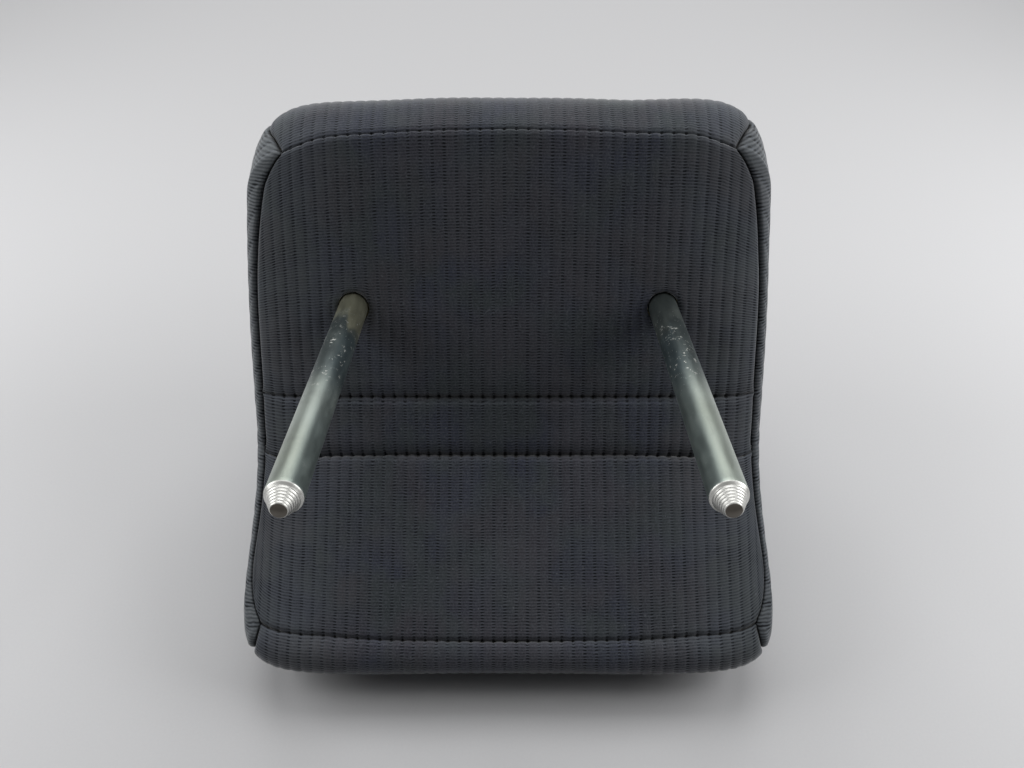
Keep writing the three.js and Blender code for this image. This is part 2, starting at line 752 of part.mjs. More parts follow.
addPiece('stay_rod', stayGeometry(0), steel());
addPiece('armature_plate', fromManifold(plateSolid(0)), blackSteel());
for (const [name, place] of Object.entries(strapPlaces)) {
  addPiece(name, fromManifold(strapSolid(0, place)), blackSteel());
}
addPiece('foam_core', fromManifold(foamSolid()), foam());
addPiece('underside_rear_panel',
  fromManifold(cut(toManifold(panelGeometry(sideParts.rear)), legHoles())), knit());
addPiece('tuck_strip', panelGeometry(sideParts.strip), knit());
addPiece('underside_front_panel', panelGeometry(sideParts.front), knit());
addPiece('wrap_panel', panelGeometry(sideParts.wrap), knit());
addPiece('left_gusset', gussetGeometry(1), knit());
addPiece('right_gusset', gussetGeometry(-1), knit());
for (const [name, tuck] of Object.entries(tuckLines)) {
  addPiece(`${name}_listing_wire`, wireGeometry(tuck, coverWireDepth), wireSteel());
  addPiece(`${name}_foam_wire`, wireGeometry(tuck, foamWireDepth), wireSteel());
  RING_STATIONS.forEach((station, i) => {
    addPiece(`${name}_hog_ring_${i + 1}`, ringGeometry(tuck, station), wireSteel());
  });
}

export default headrest;
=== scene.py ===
"""Car headrest on a white sheet: it lies on its front, and the legs of its stay point at the camera.

The pad's shape is worked out in millimetres in the frame of the model: +Z up along the legs, -Y towards
the occupant, +X to the occupant's left. Meshes are made in metres.
"""

import math

import bmesh
import bpy
import numpy as np
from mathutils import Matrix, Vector
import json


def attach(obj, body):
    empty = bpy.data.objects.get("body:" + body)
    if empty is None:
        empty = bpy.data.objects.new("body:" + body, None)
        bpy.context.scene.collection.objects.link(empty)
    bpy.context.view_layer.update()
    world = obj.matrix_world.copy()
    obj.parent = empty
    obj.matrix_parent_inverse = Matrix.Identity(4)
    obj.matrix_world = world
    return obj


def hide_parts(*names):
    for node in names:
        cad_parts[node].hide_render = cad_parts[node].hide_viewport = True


MM = 0.001

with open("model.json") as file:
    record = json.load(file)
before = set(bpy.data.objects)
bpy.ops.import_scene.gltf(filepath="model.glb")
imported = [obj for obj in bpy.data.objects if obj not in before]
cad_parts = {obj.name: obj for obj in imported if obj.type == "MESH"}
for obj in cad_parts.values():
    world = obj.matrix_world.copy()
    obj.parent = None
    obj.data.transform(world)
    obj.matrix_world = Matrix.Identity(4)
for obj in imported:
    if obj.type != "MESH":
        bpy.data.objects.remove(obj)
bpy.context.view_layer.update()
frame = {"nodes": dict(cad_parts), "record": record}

# Camera, solved from the vanishing point of the legs
CAMERA_LENS = 31.0
CAMERA_SENSOR = 36.0
CAMERA_AT = (-0.0016, 0.1566, -0.336)
CAMERA_TILT = 29.85
CAMERA_CLIP_START = 0.01

# The table's normal in the frame of the model, because the headrest lies on its front,
# and the direction on the table that leads away from the camera
TABLE_UP = Vector((0, 0.95, -0.31)).normalized()
TABLE_FAR = Vector((0, 0.31, 0.95)).normalized()

# Underside of the pad, from the rear seam to the front seam: slopes in degrees
REAR_PANEL_SLOPE = 13.4
REAR_PANEL_BEHIND = 73
REAR_PANEL_AHEAD = 39.5
STRIP_SLOPE = 19.8
STRIP_LENGTH = 25.3
FRONT_PANEL_SLOPE = 39.4
FRONT_PANEL_LENGTH = 78.1

# Lip, an arc from the front seam, in degrees from +Y downward
LIP_RADIUS = 9
LIP_START = 16
LIP_START_AT_SIDE = 40
LIP_END = 174

# Side view of the wrap over the front, the crown and the rear wall, as (y, z)
FRONT_Y = -138
REAR_Y = 76.8
CROWN_Z = 110
WRAP_POINTS = ((FRONT_Y, -22), (-118, 42), (-80, 90), (-18, CROWN_Z), (46, 94), (REAR_Y, 42))

# Plan of the pad: how much wider it is at shares of the way from the rear wall to the front
HALF_WIDTH = 112.3
WIDENING = ((0, -5), (0.26, -1.3), (0.54, 0), (0.71, -1.4), (0.85, 1.3), (1, 7.3))
CROWN_NARROWING = 12
SQUARENESS_REAR = 9.2
SQUARENESS_FRONT = 10
REAR_BOW = 0.02
SPINE = np.array([-30.0, 30.0])

# Seams: how far the rear seam and the front tuck curve forward and the front seam back,
# at shares of the way from the middle to the side
REAR_SEAM_CURVE = ((0, 0), (0.4, 0.8), (0.6, 1.4), (0.8, 2.3), (0.93, 4.8), (1, 6.1))
TUCK_CURVE = ((0, 0), (0.6, 0.1), (0.8, 1.3), (0.93, 3.6), (1, 4.8))
FRONT_SEAM_CURVE = ((0, 0), (0.45, 0.2), (0.75, 1.8), (0.9, 3), (1, 3.4))

# Side seams: their stations at shares of the way along the underside, and how far up
# each end of the wrap they take to reach the pad's corner
SIDE_SEAM = ((0, 0.905), (0.022, 0.944), (0.044, 0.972), (0.07, 0.99), (0.18, 1.02), (0.3, 1.04),
             (0.53, 1.042), (0.75, 1.07), (0.9, 1.09), (0.96, 1.06), (1, 0.975))
FRONT_CORNER_REACH = 20
REAR_CORNER_REACH = 18

# How the panels are rolled in to their seams
SEAM_GAP = 0.12
SEAM_DEPTH = 2.5
SEAM_ROUND = 3.0
TUCK_DEPTH = 6.0
TUCK_ROUND = 7.0
TUCK_ROUND_AHEAD = 3.2
HEM_DEPTH = 0.7
FADE_START = 0.75
FADE_AT_SEAM = 0.25
LEAN_POWER = 0.5

# Knit: ribs of real height, with the courses of the yarn across them
RIB_PITCH = 4.8
RIB_HEIGHT = 0.3
RIB_STEEPNESS = 2.5
RIB_SHIFT = 0.3
RIB_STEPS = 6
RIB_FADE = 14.0
GATHER = 1.2
GATHER_REACH = 4.0
EDGE_FLAT = 0.6
COURSE_PITCH = 1.25
COVER_THICKNESS = 1.5

# Unevenness of the stuffing: heights, lengths and starts of two slow waves, and the distance
# from a side seam at which they reach their full height
BROAD_HEIGHT = 0.24
BROAD_LENGTHS = (17, 21)
BROAD_STARTS = (1.3, 0.4)
FINE_HEIGHT = 0.16
FINE_LENGTHS = (9.1, 33, 13.7)
FINE_START = -0.7
UNEVEN_FADE = 12

# The cover sits a little askew: where it starts to move at the right rear corner, over
# what distance it comes to its full move, and the move itself
ASKEW_FROM_X = 50
ASKEW_OVER_X = 55
ASKEW_FROM_Y = 20
ASKEW_OVER_Y = 50
ASKEW_OUT = 1.0
ASKEW_BACK = 3.0

# Holes of the legs in the cover. Each ring of a hole's sleeve has its radius, and how much
# further in it lies than the ring before.
HOLE_RADIUS = 6.6
HOLE_RIM = 7.0
HOLE_PULL = 10.5
HOLE_CORE = 5.2
HOLE_DIMPLE = 0.35
HOLE_SLEEVE = ((HOLE_RIM, 0.1), (HOLE_RADIUS, 0.6), (HOLE_RADIUS, 7.0))

# Fineness of the skins
CURVE_STEPS = 40
LIP_STEPS = 30
ACROSS_SAMPLES = 300
DIRECTION_REACH = 0.5
ROLL_STEPS = 6
FEWEST_ROWS = 4
SPARE_COLUMNS = 2
WRAP_ROW = 3.2
PANEL_ROW = 2.0
SAME_PLACE = 0.01
TINY = 1e-9
MERGE_WITHIN = 0.02
NO_LENGTH = 0.01

# Gussets: they start as the pad's side view at the seam and calm to a rounder outline
# further in, and their knit runs at a slant
GUSSET_COLUMNS = 470
GUSSET_RINGS = 84
GUSSET_RIM_SAMPLES = 400
GUSSET_DEPTH_SAMPLES = 260
GUSSET_SMOOTHING = 26.0
GUSSET_CALM_FROM = 1.07
GUSSET_CALM_OVER = 0.35
GUSSET_SLANT = 27.0
GUSSET_RIB_FADE = 1.5
UNDERSIDE_SAMPLES = 300
UNDERSIDE_SMOOTHING = 20

# Stay, a round bar bent to a U. Its ends are cones with turned grooves. The chamfer between
# cone and bar has rows of (how far past the cone, how far below the bar's surface).
STAY_RADIUS = 6.0
LEG_X = 65.0
STAY_EXPOSED = 136.0
STAY_TOP = 66.0
STAY_BEND_RADIUS = 28.0
STAY_END_RADIUS = 2.65
STAY_CONE_LENGTH = 6.5
STAY_SHOULDER = 0.35
STAY_EDGE = 0.3
STAY_CHAMFER = ((-0.2, STAY_SHOULDER), (0, 0.1), (0.4, 0))
CONE_STEPS = 7
CONE_GROOVE_WIDTH = 0.24
CONE_GROOVE_DEPTH = 0.13
STAY_SIDES = 64
SAME_RING = 0.001
LEG_RINGS_FROM = 2
LEG_STEPS = 40
BEND_STEPS = 20


def slope_step(start, slope, length):
    angle = math.radians(slope)
    return start - length * np.array([math.cos(angle), math.sin(angle)])


leg_exit = np.array([0.0, 0.0])
rear_seam = slope_step(leg_exit, REAR_PANEL_SLOPE, -REAR_PANEL_BEHIND)
rear_tuck = slope_step(leg_exit, REAR_PANEL_SLOPE, REAR_PANEL_AHEAD)
front_tuck = slope_step(rear_tuck, STRIP_SLOPE, STRIP_LENGTH)
front_seam = slope_step(front_tuck, FRONT_PANEL_SLOPE, FRONT_PANEL_LENGTH)


def on_lip(centre, angle):
    turn = np.radians(angle)
    return centre + LIP_RADIUS * np.stack([np.cos(turn), -np.sin(turn)], -1)


lip_centre = on_lip(front_seam, LIP_START + 180)


def fade_at(share):
    """How much of a tuck's depth is left at a share of the way to the side."""
    edge = np.maximum(0, share - FADE_START) / (1 - FADE_START)
    return 1 - edge * (1 - FADE_AT_SEAM)


def curve_points(points):
    """A smooth curve through the given points, finely divided."""
    points = np.array(points, float)
    padded = np.concatenate([points[:1], points, points[-1:]])
    share = np.linspace(0, 1, CURVE_STEPS, endpoint=False)[:, None]
    parts = []
    for p0, p1, p2, p3 in zip(padded, padded[1:], padded[2:], padded[3:]):
        t0, t1 = (p2 - p0) / 2, (p3 - p1) / 2
        parts.append(p1 + t0 * share + (3 * (p2 - p1) - 2 * t0 - t1) * share**2
                     + (2 * (p1 - p2) + t0 + t1) * share**3)
    parts.append(points[-1:])
    return np.concatenate(parts)


def lengths_along(line):
    steps = np.linalg.norm(np.diff(line, axis=0), axis=1)
    return np.concatenate([[0], np.cumsum(steps)])


def resample(line, shares):
    at = lengths_along(line)
    return np.stack([np.interp(shares * at[-1], at, axis) for axis in line.T], -1)


def on_curve(curve, place):
    return np.interp(place, curve[:, 0], curve[:, 1])


widening_curve = curve_points(WIDENING)
rear_seam_curve = curve_points(REAR_SEAM_CURVE)
tuck_curve = curve_points(TUCK_CURVE)
front_seam_curve = curve_points(FRONT_SEAM_CURVE)
side_seam_curve = curve_points(SIDE_SEAM)


def rear_line(share):
    start = slope_step(rear_seam, REAR_PANEL_SLOPE, on_curve(rear_seam_curve, share))
    return np.array([start, rear_tuck])


def front_tuck_at(share):
    return slope_step(front_tuck, FRONT_PANEL_SLOPE, max(on_curve(tuck_curve, share), 0))


def strip_line(share):
    """The strip ends in the valley, or a little past it where its seam curves forward."""
    end = front_tuck_at(share)
    if np.linalg.norm(end - front_tuck) < SAME_PLACE:
        return np.array([rear_tuck, front_tuck])
    return np.array([rear_tuck, front_tuck, end])


def lip_start(share):
    """Where the lip begins: it runs out towards the sides."""
    return LIP_START_AT_SIDE + (LIP_START - LIP_START_AT_SIDE) * fade_at(share)


def front_line(share):
    """The front panel ends a little before the lip where its seam curves back."""
    valley = on_lip(lip_centre, lip_start(share))
    length = np.linalg.norm(valley - front_tuck)
    back = on_curve(front_seam_curve, share)
    return np.array([front_tuck_at(share), valley + (front_tuck - valley) * back / length])


def wrap_line(share):
    lip = on_lip(lip_centre, np.linspace(lip_start(share), LIP_END, LIP_STEPS))
    start = front_line(share)[-1:]
    if np.linalg.norm(start[0] - lip[0]) < SAME_PLACE:
        start = start[:0]
    sweep = curve_points([lip[-1], *WRAP_POINTS, rear_line(share)[0]])
    return np.concatenate([start, lip, sweep[1:]])


def inward_ways(line):
    """The directions into the pad at the two ends of a line."""
    ends = np.array([line[1] - line[0], line[-1] - line[-2]])
    ends /= np.linalg.norm(ends, axis=1, keepdims=True)
    return np.stack([ends[:, 1], -ends[:, 0]], -1)


def seam_ways(name, share):
    """The directions in which a panel's two seams run into the pad, midway between the panels."""
    order = list(PANELS)
    place = order.index(name)
    trio = [PANELS[order[(place + step) % len(order)]][0] for step in (-1, 0, 1)]
    before, here, after = [inward_ways(line(share)) for line in trio]
    ways = np.array([before[1] + here[0], here[1] + after[0]])
    return ways / np.linalg.norm(ways, axis=1, keepdims=True)


class Edge:
    """How one end of a panel is rolled in to its seam."""

    def __init__(self, depth, round_, fades):
        self.round = round_
        self.fades = fades
        turn = np.linspace(0, math.pi / 2, ROLL_STEPS + 1)
        distance = SEAM_GAP / 2 + (round_ - SEAM_GAP / 2) * (1 - np.cos(turn))
        drop = depth * (1 - np.sin(turn))
        self.distance = np.concatenate([[SEAM_GAP / 4], distance])
        self.drop = np.concatenate([[depth + HEM_DEPTH], drop])


SEAM_EDGE = Edge(SEAM_DEPTH, SEAM_ROUND, fades=False)
TUCK_BEHIND = Edge(TUCK_DEPTH, TUCK_ROUND, fades=True)
TUCK_AHEAD = Edge(TUCK_DEPTH, TUCK_ROUND_AHEAD, fades=True)

# Each panel of the cover: its line at a share of its width, its two edges and its rows
PANELS = {
    "rear": (rear_line, SEAM_EDGE, TUCK_BEHIND, PANEL_ROW),
    "strip": (strip_line, TUCK_AHEAD, TUCK_BEHIND, PANEL_ROW),
    "front": (front_line, TUCK_AHEAD, SEAM_EDGE, PANEL_ROW),
    "wrap": (wrap_line, SEAM_EDGE, SEAM_EDGE, WRAP_ROW),
}


def rolled_line(line, first, last, fade, rows, ways):
    """The side view of a panel with both ends rolled in, the lengths to its rows, and their drops."""
    at = lengths_along(line)
    length = at[-1]
    middle = np.linspace(first.round, length - last.round, rows)[1:-1]
    distance = np.concatenate([first.distance, middle, length - last.distance[::-1]])
    first_drop = first.drop * (fade if first.fades else 1)
    last_drop = last.drop * (fade if last.fades else 1)
    drop = np.concatenate([first_drop, middle * 0, last_drop[::-1]])
    point = np.stack([np.interp(distance, at, axis) for axis in line.T], -1)
    reach = (-DIRECTION_REACH, DIRECTION_REACH)
    ends = [np.interp(distance + step, at, axis) for step in reach for axis in line.T]
    along = np.stack([ends[2] - ends[0], ends[3] - ends[1]], -1)
    along /= np.linalg.norm(along, axis=1, keepdims=True)
    inward = np.stack([along[:, 1], -along[:, 0]], -1)
    lean = np.concatenate([first.drop / first.drop.max(), middle * 0, last.drop[::-1] / last.drop.max()])
    toward = np.where(distance < length / 2, 0, 1)
    inward += (ways[toward] - inward) * lean[:, None] ** LEAN_POWER
    return point + inward * drop[:, None], distance, drop


def way_forward(y):
    return (REAR_Y - y) / (REAR_Y - FRONT_Y)


def half_width(y, z):
    rise = np.maximum(z, 0) / CROWN_Z
    return HALF_WIDTH + on_curve(widening_curve, way_forward(y)) - CROWN_NARROWING * rise**2


def pad_point(side, station):
    """A point of the pad: a side view's point at a station, where 0 is the middle and 2 the side."""
    front = way_forward(side[..., 0])
    square = SQUARENESS_REAR + (SQUARENESS_FRONT - SQUARENESS_REAR) * front
    corner = 2 ** (-1 / square)
    across = np.minimum(station, 1) * corner
    scale = (1 - across**square) ** (1 / square)
    side_scale = np.clip(2 - station, 0, 1) * corner
    side_across = (1 - side_scale**square) ** (1 / square)
    across = np.where(station <= 1, across, side_across)
    scale = np.where(station <= 1, scale, side_scale)
    bow = 1 - REAR_BOW * (1 - front) * across**2
    place = SPINE + (side - SPINE) * (scale * bow)[..., None]
    x = across * half_width(place[..., 0], place[..., 1])
    return np.concatenate([x[..., None], place], -1)


underside_length = REAR_PANEL_BEHIND + REAR_PANEL_AHEAD + STRIP_LENGTH + FRONT_PANEL_LENGTH
UNDERSIDE_SHARES = {
    "rear": (0, (REAR_PANEL_BEHIND + REAR_PANEL_AHEAD) / underside_length),
    "strip": ((REAR_PANEL_BEHIND + REAR_PANEL_AHEAD) / underside_length,
              1 - FRONT_PANEL_LENGTH / underside_length),
    "front": (1 - FRONT_PANEL_LENGTH / underside_length, 1),
}
SHARES = np.linspace(0, 1, ACROSS_SAMPLES)
HALF_GAP = SEAM_GAP / 2 / HALF_WIDTH


def seam_station(name, distance, length):
    """The station of the side seam at the rows of a panel."""
    if name == "wrap":
        front = np.maximum(0, 1 - distance / FRONT_CORNER_REACH) * (1 - SIDE_SEAM[-1][1])
        rear = np.maximum(0, 1 - (length - distance) / REAR_CORNER_REACH) * (1 - SIDE_SEAM[0][1])
        return 1 - front - rear
    start, end = UNDERSIDE_SHARES[name]
    return on_curve(side_seam_curve, start + (end - start) * distance / length)


def half_skin(name):
    """Left half of a panel's smooth surface: points by row and share, the lengths to its rows
    in the middle, and how far the rows are rolled in at the side."""
    line, first, last, row = PANELS[name]
    nominal = lengths_along(line(0))[-1]
    rows = max(FEWEST_ROWS, round((nominal - first.round - last.round) / row))
    slices = []
    middle_lengths = None
    for share in SHARES:
        side_line = line(share)
        ways = seam_ways(name, share)
        side, distance, drop = rolled_line(side_line, first, last, fade_at(share), rows, ways)
        if middle_lengths is None:
            middle_lengths = distance
        edge = seam_station(name, distance, lengths_along(side_line)[-1]) - HALF_GAP
        slices.append(pad_point(side, share * edge))
    return np.stack(slices, 1), middle_lengths, drop


def normals_of(grid):
    """Unit normals of a grid of points."""
    normal = np.cross(np.gradient(grid, axis=1), np.gradient(grid, axis=0))
    return normal / np.maximum(np.linalg.norm(normal, axis=-1, keepdims=True), TINY)


def rib_height(across):
    """Height of the knit at a place across the ribs, round on top and steep in the grooves."""
    phase = across / RIB_PITCH - RIB_SHIFT
    off_crest = np.abs(2 * (phase - np.floor(phase)) - 1)
    return RIB_HEIGHT * (1 - off_crest**RIB_STEEPNESS)


def unevenness(points):
    """Slow rises and falls of the stuffing, in millimetres."""
    x, y, z = np.moveaxis(points, -1, 0)
    broad = np.sin(x / BROAD_LENGTHS[0] + BROAD_STARTS[0])
    broad *= np.cos((y + z) / BROAD_LENGTHS[1] + BROAD_STARTS[1])
    fine = np.sin(x / FINE_LENGTHS[0] + FINE_START + y / FINE_LENGTHS[1])
    fine *= np.cos((y - z) / FINE_LENGTHS[2])
    return BROAD_HEIGHT * broad + FINE_HEIGHT * fine


def leg_pull(points):
    """Opens the cover round each leg: points there move outward and dip a little.
    Says which points were in a leg's way."""
    near_leg = np.zeros(points.shape[:2], bool)
    for hand in (-1, 1):
        offset = points[..., :2] - np.array([hand * LEG_X, 0])
        radius = np.linalg.norm(offset, axis=-1)
        share = np.clip((radius - HOLE_CORE) / (HOLE_PULL - HOLE_CORE), 0, 1)
        wanted = HOLE_RIM + share * (HOLE_PULL - HOLE_RIM)
        pulled = radius < HOLE_PULL
        factor = np.where(pulled, wanted / np.maximum(radius, SAME_PLACE), 1)
        points[..., :2] = np.array([hand * LEG_X, 0]) + offset * factor[..., None]
        points[..., 2] += np.where(pulled, HOLE_DIMPLE * (1 - share) ** 2, 0)
        near_leg |= radius < HOLE_CORE
    return near_leg


def sit_askew(points):
    """The cover is pulled a little rearward at the right rear corner, as on the real one."""
    toward = np.clip((-points[..., 0] - ASKEW_FROM_X) / ASKEW_OVER_X, 0, 1)
    toward *= np.clip((points[..., 1] - ASKEW_FROM_Y) / ASKEW_OVER_Y, 0, 1)
    points[..., 0] -= ASKEW_OUT * toward
    points[..., 1] += ASKEW_BACK * toward


def panel_grid(name):
    """Points and knit coordinates of one panel, with its columns along the ribs."""
    half, along, row_drop = half_skin(name)
    normal = normals_of(half)
    middle = len(half) // 2
    if normal[middle, 0] @ (half[middle, 0] - np.array([0, *SPINE])) < 0:
        normal = -normal
    step = RIB_PITCH / RIB_STEPS
    reach = np.linalg.norm(np.diff(half, axis=1), axis=-1).cumsum(1)[:, -1].max()
    count = int(reach / step) + SPARE_COLUMNS
    columns = (np.arange(-count, count + 1) + RIB_SHIFT * RIB_STEPS) * step
    rows = []
    seam_off = np.minimum(along, along[-1] - along)
    for points, normals, rolled, off in zip(half, normal, row_drop, seam_off):
        at = lengths_along(points)
        edge = at[-1]
        inner = edge - SEAM_EDGE.round
        side = edge - SEAM_EDGE.distance
        across = np.concatenate([-side, np.clip(columns, -inner, inner), side[::-1]])
        side_drop = np.concatenate([SEAM_EDGE.drop, columns * 0, SEAM_EDGE.drop[::-1]])
        away = np.abs(across)
        place = np.stack([np.interp(away, at, axis) for axis in points.T], -1)
        facing = np.stack([np.interp(away, at, axis) for axis in normals.T], -1)
        hand = np.where(across < 0, -1, 1)
        place[:, 0] *= hand
        facing[:, 0] *= hand
        lift = rib_height(across) * np.clip((edge - away - EDGE_FLAT) / RIB_FADE, 0, 1)
        lift *= 1 + GATHER * math.exp(-off / GATHER_REACH)
        lift += unevenness(place) * np.clip((edge - away) / UNEVEN_FADE, 0, 1)
        lift -= np.maximum(side_drop - rolled, 0)
        valley = np.maximum(side_drop, rolled)
        raised = place + facing * lift[:, None]
        rows.append(np.concatenate([raised, across[:, None], valley[:, None]], -1))
    grid = np.stack(rows)
    along_each = np.broadcast_to(along[:, None], grid.shape[:2])
    knit = np.stack([grid[..., 3], along_each, grid[..., 4]], -1)
    return grid[..., :3].copy(), knit


def mesh_object(name, points, faces, uvs=None):
    """A mesh from points in millimetres. Its UV maps hold the place in the knit and the depth
    in a seam."""
    mesh = bpy.data.meshes.new(name)
    mesh.from_pydata((points * MM).tolist(), [], faces.tolist())
    if uvs is not None:
        corners = np.zeros(len(mesh.loops), int)
        mesh.loops.foreach_get("vertex_index", corners)
        for layer_name, columns in (("knit", [0, 1]), ("valley", [2, 2])):
            layer = mesh.uv_layers.new(name=layer_name)
            layer.data.foreach_set("uv", (uvs[corners][:, columns] * MM).ravel())
    piece = bpy.data.objects.new(name, mesh)
    bpy.context.scene.collection.objects.link(piece)
    return piece


def grid_faces(rows, columns):
    corner = np.arange((rows - 1) * columns).reshape(rows - 1, columns)[:, :-1].ravel()
    return np.stack([corner, corner + 1, corner + columns + 1, corner + columns], -1)


def clean_mesh(piece, outward_from):
    """Merges the corners that fall together on a seam, and turns the faces outward."""
    mesh = bmesh.new()
    mesh.from_mesh(piece.data)
    bmesh.ops.remove_doubles(mesh, verts=mesh.verts, dist=MERGE_WITHIN * MM)
    bmesh.ops.dissolve_degenerate(mesh, dist=NO_LENGTH * MM, edges=mesh.edges)
    mesh.normal_update()
    middle = Vector(outward_from) * MM
    facing = sum(f.normal.dot(f.calc_center_median() - middle) * f.calc_area() for f in mesh.faces)
    if facing < 0:
        bmesh.ops.reverse_faces(mesh, faces=mesh.faces)
    for face in mesh.faces:
        face.smooth = True
    mesh.to_mesh(piece.data)
    mesh.free()


def thicken(piece, thickness):
    """Makes a skin a closed shell that reaches inward from it."""
    shell = piece.modifiers.new("thickness", "SOLIDIFY")
    shell.thickness = thickness * MM
    shell.offset = -1


# Materials

class Nodes:
    """Short forms for building a material's nodes."""

    def __init__(self, name):
        self.material = bpy.data.materials.new(name)
        self.material.use_nodes = True
        self.tree = self.material.node_tree
        self.shader = self.tree.nodes["Principled BSDF"]
        self.surface = self.tree.nodes["Material Output"].inputs["Surface"]

    def add(self, kind, **values):
        node = self.tree.nodes.new(kind)
        for key, value in values.items():
            setattr(node, key, value)
        return node

    def put(self, socket, value):
        if isinstance(value, bpy.types.NodeSocket):
            self.tree.links.new(value, socket)
        else:
            socket.default_value = value

    def math(self, operation, *values):
        node = self.add("ShaderNodeMath", operation=operation)
        for socket, value in zip(node.inputs, values):
            self.put(socket, value)
        return node.outputs[0]

    def times(self, product, *factors):
        for factor in factors:
            product = self.math("MULTIPLY", product, factor)
        return product

    def ramp(self, value, low, high, to_low=0.0, to_high=1.0):
        """A smooth step from one number to another while the value goes from low to high."""
        node = self.add("ShaderNodeMapRange", interpolation_type="SMOOTHSTEP")
        for socket, number in zip(node.inputs, (value, low, high, to_low, to_high)):
            self.put(socket, number)
        return node.outputs[0]

    def noise(self, vector, scale, detail=2.0, roughness=0.5):
        node = self.add("ShaderNodeTexNoise")
        self.put(node.inputs["Vector"], vector)
        self.put(node.inputs["Scale"], scale)
        self.put(node.inputs["Detail"], detail)
        self.put(node.inputs["Roughness"], roughness)
        return node.outputs["Fac"]

    def mix(self, share, first, second):
        node = self.add("ShaderNodeMix", data_type="RGBA")
        self.put(node.inputs[0], share)
        self.put(node.inputs[6], first)
        self.put(node.inputs[7], second)
        return node.outputs[2]

    def bump(self, height, distance, strength):
        node = self.add("ShaderNodeBump")
        self.put(node.inputs["Height"], height)
        node.inputs["Distance"].default_value = distance
        node.inputs["Strength"].default_value = strength
        return node.outputs["Normal"]

    def place(self):
        return self.add("ShaderNodeTexCoord").outputs["Object"]

    def uv(self, layer):
        return self.add("ShaderNodeUVMap", uv_map=layer).outputs["UV"]

    def axes(self, vector):
        node = self.add("ShaderNodeSeparateXYZ")
        self.put(node.inputs[0], vector)
        return tuple(node.outputs)

    def set(self, **values):
        for name, value in values.items():
            self.put(self.shader.inputs[name.replace("_", " ")], value)


def rgb(red, green, blue):
    """An sRGB colour of 0 to 255 as linear numbers."""
    parts = np.array([red, green, blue]) / 255
    linear = np.where(parts <= 0.04045, parts / 12.92, ((parts + 0.055) / 1.055) ** 2.4)
    return (*linear.tolist(), 1.0)


# Colours of the knit
KNIT_GREY = rgb(67, 73, 76)
KNIT_BLUE = rgb(66, 70, 85)
KNIT_WARM = rgb(74, 71, 77)
KNIT_WORN = rgb(84, 87, 92)
KNIT_PAINTED_SHEEN = rgb(126, 131, 134)
KNIT_SHADE = rgb(34, 36, 40)
KNIT_FUZZ = rgb(92, 96, 103)
KNIT_GROOVE_SHADE = rgb(6, 6, 8)
KNIT_GLINT = rgb(98, 104, 114)
KNIT_FLECK = rgb(120, 124, 130)
KNIT_SEAM_SHADE = rgb(8, 8, 9)
KNIT_SHEEN = rgb(225, 226, 226)

# How far the courses wander, as a share of a course, and how much of that moves the ribs
COURSE_WANDER = 0.9
RIB_WANDER = 0.06

# Painted sheen: the knit is painted paler on its sides and next to them, where sheen and the side lamps
# light it, the left gusset more than the right
PAINTED_SHEEN_FROM = 50 * MM
PAINTED_SHEEN_TO = 108 * MM
PAINTED_SHEEN_MOST = 0.32
LEFT_PAINTED_SHEEN = 0.88
RIGHT_PAINTED_SHEEN = 0.62

# Deep in the seams the cloth is painted dark as painted shade: the depths where that begins and is full
SEAM_SHADE_FROM = 0.5 * MM
SEAM_SHADE_TO = 2.2 * MM


